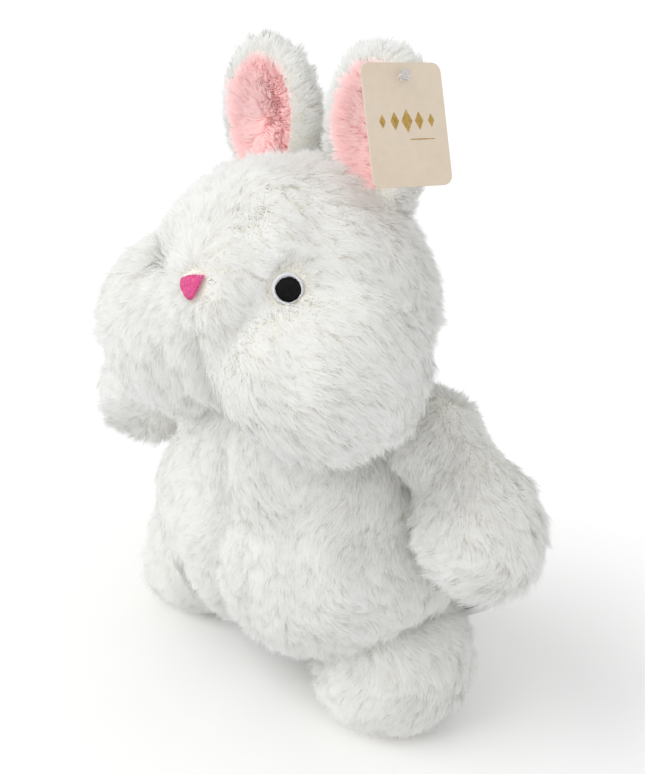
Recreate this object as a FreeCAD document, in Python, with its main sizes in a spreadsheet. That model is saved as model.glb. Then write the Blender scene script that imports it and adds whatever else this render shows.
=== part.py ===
import FreeCAD
import Part
import Sketcher
import os
from FreeCAD import Placement, Rotation, Vector

# A stuffed bunny that stands on its own two feet, in millimetres.
# The floor is Z = 0, the bunny faces -Y, and its left is +X.

doc = FreeCAD.newDocument("stuffed_bunny")
dims = doc.addObject("Spreadsheet::Sheet", "dims")

SIDES = (("left", 1), ("right", -1))

DIMENSIONS = {
    # Sewn fabric and the gaps left between solids.
    "cover_wall": 2.5,
    "fill_gap": 0.3,
    "joint_gap": 0.4,
    "seam_gap": 0.1,
    "reach": 300,
    # Body: a wide hip, sloping shoulders and a round neck.
    "hip_width": 104,
    "hip_depth": 84,
    "hip_height": 84,
    "hip_back": 1,
    "hip_level": 108,
    "shoulder_width": 86,
    "shoulder_depth": 58,
    "shoulder_height": 56,
    "shoulder_back": -11,
    "shoulder_level": 166,
    "neck_radius": 62,
    "neck_back": -19,
    "neck_level": 178,
    "side_seam_back": 23,
    # Head, measured in its own axes from its centre, which sits on the neck.
    "head_tilt": 7,
    "head_side": 6,
    "head_back": -10,
    "head_level": 74,
    "skull_width": 80,
    "skull_depth": 72,
    "skull_height": 70,
    "skull_level": 18,
    "cheek_width": 50,
    "cheek_depth": 48,
    "cheek_height": 46,
    "cheek_side": 50,
    "cheek_back": -31,
    "cheek_level": -2,
    "muzzle_width": 40,
    "muzzle_depth": 44,
    "muzzle_height": 34,
    "muzzle_back": -34,
    "muzzle_level": 34,
    "head_seam_back": 6,
    # Eyes and nose: embroidered patches that stand just proud of the face.
    "stitch_height": 1.2,
    "stitch_gap": 0.3,
    "eye_side": 44,
    "eye_level": 44,
    "eye_ring_radius": 8,
    "eye_pupil_radius": 6.5,
    "eye_pupil_shift": 0.7,
    "nose_width": 11.5,
    "nose_height": 9,
    "nose_level": 43,
    # Ears, measured from the seam where each one bends.
    "ear_side": 38,
    "ear_back": 30,
    "ear_level": 76,
    "ear_root_radius": 9,
    "ear_root_length": 34,
    "ear_width": 31,
    "ear_thickness": 9.5,
    "ear_height": 42,
    "ear_middle": 34,
    "ear_hollow_width": 21,
    "ear_hollow_depth": 13,
    "ear_hollow_height": 33,
    "ear_hollow_back": -16,
    "ear_hollow_level": 36,
    "lining_wall": 2,
    "ear_clearance": 3,
    "left_ear_lean": 1,
    "right_ear_lean": 2,
    # Arms: round shoulders that run into thick mittens.
    "arm_side": 83,
    "arm_back": -2,
    "left_arm_level": 204,
    "right_arm_level": 191,
    "arm_radius": 29.5,
    "sleeve_radius": 24,
    "sleeve_height": 32,
    "sleeve_drop": 30,
    "sleeve_out": 4,
    "hand_width": 31,
    "hand_depth": 29,
    "hand_height": 36,
    "hand_drop": 58,
    "left_arm_spread": 48,
    "right_arm_spread": 50,
    "left_arm_forward": 9,
    "right_arm_forward": 30,
    # Legs: round hips and stub feet with flat soles.
    "leg_side": 84,
    "leg_back": -1,
    "leg_level": 40,
    "leg_radius": 43,
    "foot_width": 41,
    "foot_depth": 46,
    "foot_height": 32,
    "foot_forward": 6,
    "foot_level": 24,
    # Tail.
    "tail_radius": 20,
    "tail_back": 89,
    "tail_level": 74,
    # Swing tag and the plastic pin that holds it to the ear.
    "tag_width": 45,
    "tag_height": 61,
    "tag_thickness": 0.8,
    "tag_corner": 5,
    "tag_hole_radius": 2.2,
    "tag_hole_drop": 7,
    "tag_turn": 64,
    "tag_tilt": 28,
    "tag_side": 42,
    "tag_back": -15,
    "tag_level": 398,
    "pin_radius": 0.5,
    "pin_head_radius": 2.8,
    "pin_head_height": 1,
    "pin_head_stand_off": 4,
    "pin_elbow_depth": 5,
    "pin_anchor_side": 8,
    "pin_anchor_level": 58,
    "pin_bar_length": 9,
    # Sewn labels in the left side seam.
    "label_side": 90,
    "label_back": 30,
    "label_level": 73,
    "label_turn": 12,
    "label_droop": 18,
    "black_label_width": 20,
    "black_label_height": 30,
    "black_label_thickness": 0.9,
    "care_label_width": 27,
    "care_label_height": 36,
    "care_label_thickness": 0.5,
    "label_spacing": 1.6,
}

for row, (alias, value) in enumerate(DIMENSIONS.items(), start=1):
    dims.set("A%d" % row, alias.replace("_", " "))
    dims.set("B%d" % row, str(value))
    dims.setAlias("B%d" % row, alias)
doc.recompute()


def size(alias):
    """The value of one cell of the sheet."""
    return float(dims.get(alias))


def bind(obj, links):
    """Tie properties of an object to expressions on the sheet."""
    for name, formula in links.items():
        obj.setExpression(name, formula)
    return obj


def at(x="0", y="0", z="0"):
    """Position expressions for bind."""
    return {"Placement.Base.x": x, "Placement.Base.y": y, "Placement.Base.z": z}


def ellipsoid(name, radii, centre=("0", "0", "0"), grow="0"):
    """A full ellipsoid of three half-axes, all grown by the same amount."""
    solid = doc.addObject("Part::Ellipsoid", name)
    solid.Angle1 = -90
    solid.Angle2 = 90
    links = at(*centre)
    links["Radius2"] = "%s + %s" % (radii[0], grow)
    links["Radius3"] = "%s + %s" % (radii[1], grow)
    links["Radius1"] = "%s + %s" % (radii[2], grow)
    return bind(solid, links)


def sphere(name, radius, centre=("0", "0", "0"), grow="0"):
    """A full sphere."""
    solid = doc.addObject("Part::Sphere", name)
    links = at(*centre)
    links["Radius"] = "%s + %s" % (radius, grow)
    return bind(solid, links)


def block(name, lengths, corner):
    """A box with one corner at a given place."""
    solid = doc.addObject("Part::Box", name)
    links = at(*corner)
    links["Length"], links["Width"], links["Height"] = lengths
    return bind(solid, links)


def fuse(name, shapes):
    """One solid from several that overlap."""
    result = doc.addObject("Part::MultiFuse", name)
    result.Shapes = shapes
    return result


def common(name, shapes):
    """What several solids share."""
    result = doc.addObject("Part::MultiCommon", name)
    result.Shapes = shapes
    return result


def cut(name, base, tool):
    """One solid with another taken out of it."""
    result = doc.addObject("Part::Cut", name)
    result.Base = base
    result.Tool = tool
    return result


subparts = []


def node(obj, label, placement=Placement()):
    """Name a finished sub-part and put it in its place."""
    obj.Label = label
    obj.Placement = placement
    subparts.append(obj)
    return obj


# Levels of skin: the outside of the cover, its inside, and the stuffing.
OUTSIDE = "0"
INSIDE = "0 - dims.cover_wall"
STUFFING = "0 - dims.cover_wall - dims.fill_gap"

# A socket is cut wider than its ball, and its wall is one cover thick.
SOCKET = "dims.joint_gap"
SOCKET_WALL = "dims.joint_gap + dims.cover_wall"
SOCKET_FILL = "dims.joint_gap + dims.cover_wall + dims.fill_gap"


# ---------------------------------------------------------------- frames

def turned(axis, degrees):
    """A rotation about one of the main axes."""
    return Rotation(axis, degrees)


AXIS_X = Vector(1, 0, 0)
AXIS_Y = Vector(0, 1, 0)
AXIS_Z = Vector(0, 0, 1)

neck_place = Placement(Vector(0, size("neck_back"), size("neck_level")), turned(AXIS_Y, -size("head_tilt")))
head_offset = Vector(size("head_side"), size("head_back"), size("head_level"))
head_place = neck_place * Placement(head_offset, Rotation())

ear_places = {}
arm_places = {}
leg_places = {}
for side, sign in SIDES:
    ear_base = Vector(sign * size("ear_side"), size("ear_back"), size("ear_level"))
    ear_places[side] = Placement(ear_base, turned(AXIS_Y, sign * size(side + "_ear_lean")))
    shoulder = Vector(sign * size("arm_side"), size("arm_back"), size(side + "_arm_level"))
    forward = turned(AXIS_X, -size(side + "_arm_forward"))
    spread = turned(AXIS_Y, -sign * size(side + "_arm_spread"))
    arm_places[side] = Placement(shoulder, forward * spread)
    leg_places[side] = Placement(Vector(sign * size("leg_side"), size("leg_back"), size("leg_level")), Rotation())


# ---------------------------------------------------------------- body

def torso_form(name, skin, socket):
    """Hip, shoulders and neck in one form, with sockets for both arms and both legs."""
    hip = ellipsoid(name + "_hip", ("dims.hip_width", "dims.hip_depth", "dims.hip_height"),
                    ("0", "dims.hip_back", "dims.hip_level"), skin)
    shoulders = ellipsoid(name + "_shoulders", ("dims.shoulder_width", "dims.shoulder_depth", "dims.shoulder_height"),
                          ("0", "dims.shoulder_back", "dims.shoulder_level"), skin)
    neck = sphere(name + "_neck", "dims.neck_radius", ("0", "dims.neck_back", "dims.neck_level"), skin)
    sockets = []
    for side, sign in SIDES:
        sockets.append(sphere("%s_%s_arm_socket" % (name, side), "dims.arm_radius",
                              ("%d * dims.arm_side" % sign, "dims.arm_back", "dims.%s_arm_level" % side), socket))
        sockets.append(sphere("%s_%s_leg_socket" % (name, side), "dims.leg_radius",
                              ("%d * dims.leg_side" % sign, "dims.leg_back", "dims.leg_level"), socket))
    return cut(name, fuse(name + "_skin", [hip, shoulders, neck]), fuse(name + "_sockets", sockets))


torso_outer = torso_form("torso_outer", OUTSIDE, SOCKET)
torso_inner = torso_form("torso_inner", INSIDE, SOCKET_WALL)
torso_shell = cut("torso_shell", torso_outer, torso_inner)


def panels(shell, seam_back, prefix):
    """Cut a hollow cover along its front centre seam and its side seams: two fronts and one back."""
    back = block(prefix + "_back_half", ("2 * dims.reach", "dims.reach", "2 * dims.reach"),
                 ("-dims.reach", "%s + dims.seam_gap / 2" % seam_back, "-dims.reach"))
    halves = {}
    for side, sign in SIDES:
        corner = "dims.seam_gap / 2" if sign > 0 else "-dims.reach - dims.seam_gap / 2"
        halves[side] = block("%s_%s_half" % (prefix, side), ("dims.reach", "dims.reach", "2 * dims.reach"),
                             (corner, "%s - dims.reach - dims.seam_gap / 2" % seam_back, "-dims.reach"))
    return {
        "left": common(prefix + "_left_panel", [shell, halves["left"]]),
        "right": common(prefix + "_right_panel", [shell, halves["right"]]),
        "back": common(prefix + "_back_panel", [shell, back]),
    }


torso_panels = panels(torso_shell, "dims.side_seam_back", "torso")
node(torso_panels["left"], "body_front_left")
node(torso_panels["right"], "body_front_right")
node(torso_panels["back"], "body_back")
node(torso_form("torso_fill", STUFFING, SOCKET_FILL), "body_stuffing")


# ---------------------------------------------------------------- tail

def tail_form(name, skin):
    """A round tail that stops at the back of the body."""
    ball = sphere(name + "_ball", "dims.tail_radius", ("0", "dims.tail_back", "dims.tail_level"), skin)
    hip = ellipsoid(name + "_hip", ("dims.hip_width", "dims.hip_depth", "dims.hip_height"),
                    ("0", "dims.hip_back", "dims.hip_level"), "dims.joint_gap - (%s)" % skin)
    return cut(name, ball, hip)


node(cut("tail_shell", tail_form("tail_outer", OUTSIDE), tail_form("tail_inner", INSIDE)), "tail_cover")
node(tail_form("tail_fill", STUFFING), "tail_stuffing")


# ---------------------------------------------------------------- head

def head_form(name, skin, socket):
    """Skull, cheeks and muzzle in one form, with a socket for the neck and a groove for each ear."""
    lumps = [
        ellipsoid(name + "_skull", ("dims.skull_width", "dims.skull_depth", "dims.skull_height"),
                  ("0", "0", "dims.skull_level"), skin),
        ellipsoid(name + "_muzzle", ("dims.muzzle_width", "dims.muzzle_depth", "dims.muzzle_height"),
                  ("0", "dims.muzzle_back", "dims.muzzle_level"), skin),
    ]
    hollows = [sphere(name + "_neck_socket", "dims.neck_radius",
                      ("-dims.head_side", "-dims.head_back", "-dims.head_level"), socket)]
    for side, sign in SIDES:
        lumps.append(ellipsoid("%s_%s_cheek" % (name, side),
                               ("dims.cheek_width", "dims.cheek_depth", "dims.cheek_height"),
                               ("%d * dims.cheek_side" % sign, "dims.cheek_back", "dims.cheek_level"), skin))
        hollows.append(ear_root("%s_%s_groove" % (name, side), socket, ear_places[side]))
    return cut(name, fuse(name + "_skin", lumps), fuse(name + "_hollows", hollows))


def ear_root(name, grow, place):
    """The round roll at the foot of an ear, which it bends about."""
    roll = doc.addObject("Part::Cylinder", name)
    bind(roll, {"Radius": "dims.ear_root_radius + %s" % grow, "Height": "dims.ear_root_length + 2 * (%s)" % grow})
    half = size("ear_root_length") / 2
    roll.Placement = place * Placement(Vector(-half - grow_value(grow), 0, 0), turned(AXIS_Y, 90))
    return roll


def grow_value(formula):
    """The value of one of the skin or socket formulas."""
    values = {
        OUTSIDE: 0,
        INSIDE: -size("cover_wall"),
        SOCKET: size("joint_gap"),
        SOCKET_WALL: size("joint_gap") + size("cover_wall"),
        SOCKET_FILL: size("joint_gap") + size("cover_wall") + size("fill_gap"),
    }
    return values[formula]


head_outer = head_form("head_outer", OUTSIDE, SOCKET)
head_inner = head_form("head_inner", INSIDE, SOCKET_WALL)
head_shell = cut("head_shell", head_outer, head_inner)
head_panels = panels(head_shell, "dims.head_seam_back", "head")
node(head_panels["left"], "face_left", head_place)
node(head_panels["right"], "face_right", head_place)
node(head_panels["back"], "head_rear", head_place)
node(head_form("head_fill", STUFFING, SOCKET_FILL), "head_stuffing", head_place)


# ---------------------------------------------------------------- eyes and nose

def eye_place(sign):
    """The frame of an eye: its origin on the skull, its +Z straight out of the face and its +Y up."""
    half_axes = [size("skull_" + part) for part in ("width", "depth", "height")]
    side = sign * size("eye_side")
    rise = size("eye_level") - size("skull_level")
    share = 1 - (side / half_axes[0]) ** 2 - (rise / half_axes[2]) ** 2
    point = Vector(side, -half_axes[1] * share ** 0.5, rise)
    outward = Vector(point.x / half_axes[0] ** 2, point.y / half_axes[1] ** 2, point.z / half_axes[2] ** 2)
    across = AXIS_Z.cross(outward).normalize()
    centre = point + Vector(0, 0, size("skull_level"))
    return Placement(centre, Rotation(across, outward.cross(across), outward, "ZXY"))


def post(name, radius, place, shift):
    """A round post that points out of the face, moved sideways and down by a shift."""
    solid = doc.addObject("Part::Cylinder", name)
    bind(solid, {"Radius": radius, "Height": "2 * dims.eye_ring_radius"})
    solid.Placement = place * Placement(Vector(shift, -shift, -size("eye_ring_radius")), Rotation())
    return solid


stitch_layer = cut("stitch_layer", head_form("stitch_top", "dims.stitch_gap + dims.stitch_height", SOCKET),
                   head_form("stitch_under", "dims.stitch_gap", SOCKET))


def patch(name, stencil):
    """A thin patch of stitching that follows the head, as wide as the stencil."""
    return common(name, [stitch_layer, stencil])


for side, sign in SIDES:
    place = eye_place(sign)
    shift = size("eye_pupil_shift")
    pupil_post = post(side + "_pupil_post", "dims.eye_pupil_radius", place, shift)
    ring_post = post(side + "_ring_post", "dims.eye_ring_radius", place, 0)
    gap_post = post(side + "_gap_post", "dims.eye_pupil_radius + dims.seam_gap", place, shift)
    ring = cut(side + "_eye_ring_stencil", ring_post, gap_post)
    node(patch(side + "_pupil_patch", pupil_post), side + "_eye_pupil", head_place)
    node(patch(side + "_ring_patch", ring), side + "_eye_ring", head_place)

nose_stencil = ellipsoid("nose_stencil", ("dims.nose_width", "dims.reach", "dims.nose_height"),
                         ("0", "0 - dims.reach", "dims.nose_level"))
node(patch("nose_patch", nose_stencil), "nose", head_place)


# ---------------------------------------------------------------- ears

def ear_skin(name, side, skin):
    """The flat oval of an ear, trimmed where it meets the skull."""
    oval = ellipsoid(name + "_oval", ("dims.ear_width", "dims.ear_thickness", "dims.ear_height"),
                     ("0", "0", "dims.ear_middle"), skin)
    skull = doc.addObject("Part::Ellipsoid", name + "_skull")
    skull.Angle1 = -90
    skull.Angle2 = 90
    grow = "dims.ear_clearance - (%s)" % skin
    bind(skull, {"Radius2": "dims.skull_width + %s" % grow, "Radius3": "dims.skull_depth + %s" % grow,
                 "Radius1": "dims.skull_height + %s" % grow})
    skull.Placement = ear_places[side].inverse() * Placement(Vector(0, 0, size("skull_level")), Rotation())
    return cut(name, oval, skull)


def ear_hollow(name, grow):
    """The dished front of an ear."""
    return ellipsoid(name, ("dims.ear_hollow_width", "dims.ear_hollow_depth", "dims.ear_hollow_height"),
                     ("0", "dims.ear_hollow_back", "dims.ear_hollow_level"), grow)


for side, sign in SIDES:
    place = head_place * ear_places[side]
    oval = fuse(side + "_ear_oval", [ear_skin(side + "_ear_skin", side, OUTSIDE),
                                     ear_root(side + "_ear_root", OUTSIDE, Placement())])
    dish = ear_hollow(side + "_ear_dish", "0")
    lining_bed = ear_hollow(side + "_ear_lining_bed", "dims.lining_wall")
    padding = cut(side + "_ear_fill", ear_skin(side + "_ear_fill_skin", side, STUFFING),
                  ear_hollow(side + "_ear_fill_bed", "dims.lining_wall + dims.fill_gap"))
    cavity = ear_skin(side + "_ear_cavity", side, INSIDE)
    outer = cut(side + "_ear_cover", oval, fuse(side + "_ear_hollows", [lining_bed, cavity]))
    lining = cut(side + "_ear_front", common(side + "_ear_front_bed", [oval, lining_bed]), dish)
    node(outer, side + "_ear_outer", place)
    node(lining, side + "_ear_lining", place)
    node(padding, side + "_ear_padding", place)


# ---------------------------------------------------------------- arms and legs

def arm_form(name, skin, outward):
    """A round shoulder, a sleeve set a little outward, and a long mitten below it."""
    ball = sphere(name + "_ball", "dims.arm_radius", ("0", "0", "0"), skin)
    sleeve = ellipsoid(name + "_sleeve", ("dims.sleeve_radius", "dims.sleeve_radius", "dims.sleeve_height"),
                       ("%d * dims.sleeve_out" % outward, "0", "0 - dims.sleeve_drop"), skin)
    hand = ellipsoid(name + "_hand", ("dims.hand_width", "dims.hand_depth", "dims.hand_height"),
                     ("0", "0", "0 - dims.hand_drop"), skin)
    return fuse(name, [ball, sleeve, hand])


def leg_form(name, skin):
    """A round hip and a stub foot in front of it, cut off flat at the floor."""
    ball = sphere(name + "_ball", "dims.leg_radius", ("0", "0", "0"), skin)
    foot = ellipsoid(name + "_foot", ("dims.foot_width", "dims.foot_depth", "dims.foot_height"),
                     ("0", "0 - dims.foot_forward", "dims.foot_level - dims.leg_level"), skin)
    room = block(name + "_room", ("2 * dims.reach", "2 * dims.reach", "dims.reach"),
                 ("0 - dims.reach", "0 - dims.reach", "0 - dims.leg_level - (%s)" % skin))
    return common(name, [fuse(name + "_skin", [ball, foot]), room])


def stuffed_limb(name, place, forms):
    """A limb's cover and its stuffing, from its outer, inner and stuffing forms."""
    outer, inner, fill = forms
    node(cut(name + "_shell", outer, inner), name + "_cover", place)
    node(fill, name + "_stuffing", place)


LAYERS = (("outer", OUTSIDE), ("inner", INSIDE), ("fill", STUFFING))
for side, sign in SIDES:
    arm, leg = side + "_arm", side + "_leg"
    stuffed_limb(arm, arm_places[side], [arm_form("%s_%s" % (arm, layer), skin, sign) for layer, skin in LAYERS])
    stuffed_limb(leg, leg_places[side], [leg_form("%s_%s" % (leg, layer), skin) for layer, skin in LAYERS])


# ---------------------------------------------------------------- swing tag

tag_place = Placement(Vector(size("tag_side"), size("tag_back"), size("tag_level")),
                      turned(AXIS_Z, size("tag_turn")) * turned(AXIS_X, 90 - size("tag_tilt")))


def origin_plane(body, role):
    """One of a body's own base planes."""
    return [plane for plane in body.Origin.OriginFeatures if plane.Role == role][0]


def card(label, place):
    """A flat card with rounded corners and a punched hole, drawn from the middle of the hole."""
    body = doc.addObject("PartDesign::Body", label)
    outline = body.newObject("Sketcher::SketchObject", label + "_outline")
    outline.AttachmentSupport = [(origin_plane(body, "XY_Plane"), "")]
    outline.MapMode = "FlatFace"
    half = size("tag_width") / 2
    top = size("tag_hole_drop")
    bottom = top - size("tag_height")
    corners = [Vector(-half, bottom, 0), Vector(half, bottom, 0), Vector(half, top, 0), Vector(-half, top, 0)]
    for index, corner in enumerate(corners):
        outline.addGeometry(Part.LineSegment(corner, corners[(index + 1) % len(corners)]), False)
    hole = outline.addGeometry(Part.Circle(Vector(0, 0, 0), AXIS_Z, size("tag_hole_radius")), False)
    add_card_constraints(outline, hole)
    pad = body.newObject("PartDesign::Pad", label + "_pad")
    pad.Profile = outline
    bind(pad, {"Length": "dims.tag_thickness"})
    doc.recompute()
    rounded = body.newObject("PartDesign::Fillet", label + "_corners")
    rounded.Base = (pad, upright_edges(pad.Shape))
    bind(rounded, {"Radius": "dims.tag_corner"})
    node(body, label, place)


def add_card_constraints(outline, hole):
    """Close the rectangle and tie its size and its hole to the sheet."""
    constraint = Sketcher.Constraint
    for index in range(4):
        outline.addConstraint(constraint("Coincident", index, 2, (index + 1) % 4, 1))
    for index, kind in enumerate(("Horizontal", "Vertical", "Horizontal", "Vertical")):
        outline.addConstraint(constraint(kind, index))
    outline.addConstraint(constraint("Coincident", hole, 3, -1, 1))
    sizes = (
        (constraint("Radius", hole, size("tag_hole_radius")), "dims.tag_hole_radius"),
        (constraint("DistanceX", 0, 1, 0, 2, size("tag_width")), "dims.tag_width"),
        (constraint("DistanceY", 1, 1, 1, 2, size("tag_height")), "dims.tag_height"),
        (constraint("DistanceX", -1, 1, 1, 1, size("tag_width") / 2), "dims.tag_width / 2"),
        (constraint("DistanceY", -1, 1, 2, 1, size("tag_hole_drop")), "dims.tag_hole_drop"),
    )
    for item, formula in sizes:
        index = outline.addConstraint(item)
        outline.setExpression("Constraints[%d]" % index, formula)


def upright_edges(shape):
    """Names of the short straight edges at the corners of a card."""
    names = []
    for index, edge in enumerate(shape.Edges, start=1):
        span = edge.BoundBox
        if span.ZLength > 0 and span.XLength < 1e-6 and span.YLength < 1e-6 and len(edge.Vertexes) == 2:
            if abs(abs(edge.Vertexes[0].X) - size("tag_width") / 2) < 1e-6:
                names.append("Edge%d" % index)
    return names


card("swing_tag", tag_place)


def strut(name, radius, start, end):
    """A straight round rod from one point to another."""
    solid = doc.addObject("Part::Cylinder", name)
    bind(solid, {"Radius": radius})
    solid.Height = (end - start).Length
    solid.Placement = Placement(start, Rotation(AXIS_Z, end - start))
    return solid


def ball(name, radius, centre):
    """A ball at a point."""
    solid = doc.addObject("Part::Sphere", name)
    bind(solid, {"Radius": radius})
    solid.Placement.Base = centre
    return solid


# The pin runs straight through the hole of the card, bends, and ends in a bar inside the ear.
left_ear_place = head_place * ear_places["left"]
anchor = left_ear_place.multVec(Vector(size("pin_anchor_side"), 0, size("pin_anchor_level")))
bar_half = left_ear_place.Rotation.multVec(Vector(size("pin_bar_length") / 2, 0, 0))
elbow = tag_place.multVec(Vector(0, 0, -size("pin_elbow_depth")))
pin_end = tag_place.multVec(Vector(0, 0, size("pin_head_stand_off") + size("pin_head_height") / 2))
head_base = tag_place.multVec(Vector(0, 0, size("pin_head_stand_off")))
head_top = tag_place.multVec(Vector(0, 0, size("pin_head_stand_off") + size("pin_head_height")))
pin = fuse("pin", [
    strut("pin_head", "dims.pin_head_radius", head_base, head_top),
    strut("pin_front", "dims.pin_radius", elbow, pin_end),
    ball("pin_elbow", "dims.pin_radius", elbow),
    strut("pin_back", "dims.pin_radius", anchor, elbow),
    strut("pin_bar", "1.6 * dims.pin_radius", anchor - bar_half, anchor + bar_half),
])
node(pin, "tag_fastener")


# ---------------------------------------------------------------- sewn labels

seam_place = Placement(Vector(size("label_side"), size("label_back"), size("label_level")),
                       turned(AXIS_Z, size("label_turn")) * turned(AXIS_Y, size("label_droop")))
for order, label in enumerate(("black_label", "care_label")):
    leaf = doc.addObject("Part::Box", label + "_leaf")
    bind(leaf, {"Length": "dims.%s_width" % label, "Width": "dims.%s_thickness" % label,
                "Height": "dims.%s_height" % label})
    node(leaf, label, seam_place * Placement(Vector(0, order * size("label_spacing"), 0), Rotation()))

doc.recompute()

for obj in doc.Objects:
    if "Invalid" in obj.State or "Error" in obj.State:
        raise RuntimeError("%s: %s" % (obj.Label, obj.State))
for obj in subparts:
    if obj.Shape.isNull() or not obj.Shape.isValid():
        raise RuntimeError("%s has no sound shape" % obj.Label)

os.makedirs("parts", exist_ok=True)
for obj in subparts:
    obj.Shape.exportStep("parts/%s.step" % obj.Label)
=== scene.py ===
import math

import bpy
import numpy as np
from mathutils import Matrix, Vector
from mathutils.bvhtree import BVHTree
from mathutils.kdtree import KDTree


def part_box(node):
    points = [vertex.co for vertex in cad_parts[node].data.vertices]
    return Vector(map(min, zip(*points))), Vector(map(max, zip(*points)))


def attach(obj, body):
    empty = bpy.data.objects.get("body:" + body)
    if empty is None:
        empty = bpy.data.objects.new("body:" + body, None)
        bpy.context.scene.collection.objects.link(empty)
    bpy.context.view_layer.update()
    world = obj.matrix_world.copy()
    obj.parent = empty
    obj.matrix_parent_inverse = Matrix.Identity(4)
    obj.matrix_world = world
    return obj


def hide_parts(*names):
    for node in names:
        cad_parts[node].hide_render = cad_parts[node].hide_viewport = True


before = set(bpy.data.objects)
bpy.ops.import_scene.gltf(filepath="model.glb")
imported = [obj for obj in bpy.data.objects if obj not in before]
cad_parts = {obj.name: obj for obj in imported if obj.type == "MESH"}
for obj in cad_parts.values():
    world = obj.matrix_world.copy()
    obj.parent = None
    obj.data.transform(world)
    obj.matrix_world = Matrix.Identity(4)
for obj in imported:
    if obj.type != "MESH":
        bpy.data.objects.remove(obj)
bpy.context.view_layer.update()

MM = 0.001
UP = np.array((0.0, 0.0, 1.0))


# A standing plush bunny. Skins are built over the CAD covers and pile grows on them. The embroidery, the
# card tag and the sewn labels follow. Lengths are in metres unless they are multiplied by MM.

# ---------------------------------------------------------------- arrays

def unit(v):
    """Vectors scaled to a length of one."""
    return v / np.maximum(np.linalg.norm(v, axis=-1, keepdims=True), 1e-12)


def step(x, low, high):
    """A smooth rise from nought at low to one at high."""
    t = np.clip((x - low) / (high - low), 0, 1)
    return t * t * (3 - 2 * t)


def waves(points, scale, seed, channels=1, count=14):
    """A smooth random field over points, mostly within -1 to 1, with dents about scale metres across."""
    rng = np.random.default_rng(seed)
    field = np.empty((len(points), channels))
    for channel in range(channels):
        k = unit(rng.normal(size=(count, 3))) * rng.uniform(0.7, 1.3, (count, 1)) * math.pi / scale
        field[:, channel] = np.sin(points @ k.T + rng.uniform(0, 2 * math.pi, count)).sum(1)
    return field / math.sqrt(count)


def read_mesh(mesh):
    """A mesh's points, vertex normals and triangles."""
    points = np.empty(len(mesh.vertices) * 3, np.float32)
    mesh.vertices.foreach_get("co", points)
    normals = np.empty(len(mesh.vertices) * 3, np.float32)
    mesh.vertex_normals.foreach_get("vector", normals)
    mesh.calc_loop_triangles()
    triangles = np.empty(len(mesh.loop_triangles) * 3, np.int32)
    mesh.loop_triangles.foreach_get("vertices", triangles)
    return (points.reshape(-1, 3).astype(float), normals.reshape(-1, 3).astype(float),
            triangles.reshape(-1, 3))


def mesh_object(name, points, faces, uv=None, normals=None):
    """An object from points and a list of face arrays; uv and normals have a row for each point."""
    mesh = bpy.data.meshes.new(name)
    corners = np.concatenate([f.ravel() for f in faces]).astype(np.int32)
    counts = np.concatenate([np.full(len(f), f.shape[1]) for f in faces])
    mesh.vertices.add(len(points))
    mesh.vertices.foreach_set("co", np.ascontiguousarray(points, np.float32).ravel())
    mesh.loops.add(len(corners))
    mesh.loops.foreach_set("vertex_index", corners)
    mesh.polygons.add(len(counts))
    starts = np.concatenate([[0], np.cumsum(counts)[:-1]]).astype(np.int32)
    mesh.polygons.foreach_set("loop_start", starts)
    mesh.update(calc_edges=True)
    mesh.polygons.foreach_set("use_smooth", np.ones(len(counts), bool))
    if uv is not None:
        layer = mesh.uv_layers.new(name="OFBake")
        layer.uv.foreach_set("vector", np.ascontiguousarray(uv[corners], np.float32).ravel())
    if normals is not None:
        held = mesh.attributes.new("custom_normal", "FLOAT_VECTOR", "POINT")
        held.data.foreach_set("vector", np.ascontiguousarray(normals, np.float32).ravel())
    made = bpy.data.objects.new(name, mesh)
    bpy.context.scene.collection.objects.link(made)
    return made


def relaxed(points, triangles, rounds):
    """The points after each has moved towards its neighbours' mean this many times."""
    edges = np.concatenate([triangles[:, [0, 1]], triangles[:, [1, 2]], triangles[:, [2, 0]]])
    ends = np.concatenate([edges, edges[:, ::-1]])
    share = np.bincount(ends[:, 0], minlength=len(points)).astype(float)
    for _ in range(rounds):
        mean = np.stack([np.bincount(ends[:, 0], points[ends[:, 1], axis], len(points))
                         for axis in range(3)], 1) / share[:, None]
        points = 0.5 * (points + mean)
    return points


def tree_of(points, triangles):
    """A search tree over a triangle mesh."""
    return BVHTree.FromPolygons(points.tolist(), triangles.tolist())


def cad(node):
    """The points, normals and triangles of a CAD node."""
    return read_mesh(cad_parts[node].data)


def cad_tree(node):
    points, _, triangles = cad(node)
    return tree_of(points, triangles)


def distances(tree, points):
    """How far each point is from a surface."""
    return np.array([tree.find_nearest(p)[3] for p in points.tolist()])


def depths(tree, points):
    """How far each point is inside a closed surface; negative outside it."""
    out = np.empty(len(points))
    for i, p in enumerate(points.tolist()):
        place, normal, _, far = tree.find_nearest(p)
        side = (p[0] - place.x) * normal.x + (p[1] - place.y) * normal.y + (p[2] - place.z) * normal.z
        out[i] = far if side < 0 else -far
    return out


def flat_frame(node):
    """The centre, the outward normal and two directions in the plane of a thin CAD node."""
    points, _, triangles = cad(node)
    a, b, c = (points[triangles[:, i]] for i in range(3))
    area = np.linalg.norm(np.cross(b - a, c - a), axis=1)
    middle = ((a + b + c) / 3 * area[:, None]).sum(0) / area.sum()
    spread = (a + b + c) / 3 - middle
    axes = np.linalg.eigh((spread * area[:, None]).T @ spread)[1]
    return middle, axes[:, 0], axes[:, 2], axes[:, 1]


# ---------------------------------------------------------------- materials

def material(name, **values):
    """A new material and its shader, with constants set on the shader's own sockets."""
    made = bpy.data.materials.new(name)
    made.use_nodes = True
    shader = made.node_tree.nodes["Principled BSDF"]
    for socket, value in values.items():
        shader.inputs[socket.replace("_", " ")].default_value = value
    return made, made.node_tree, shader


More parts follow.
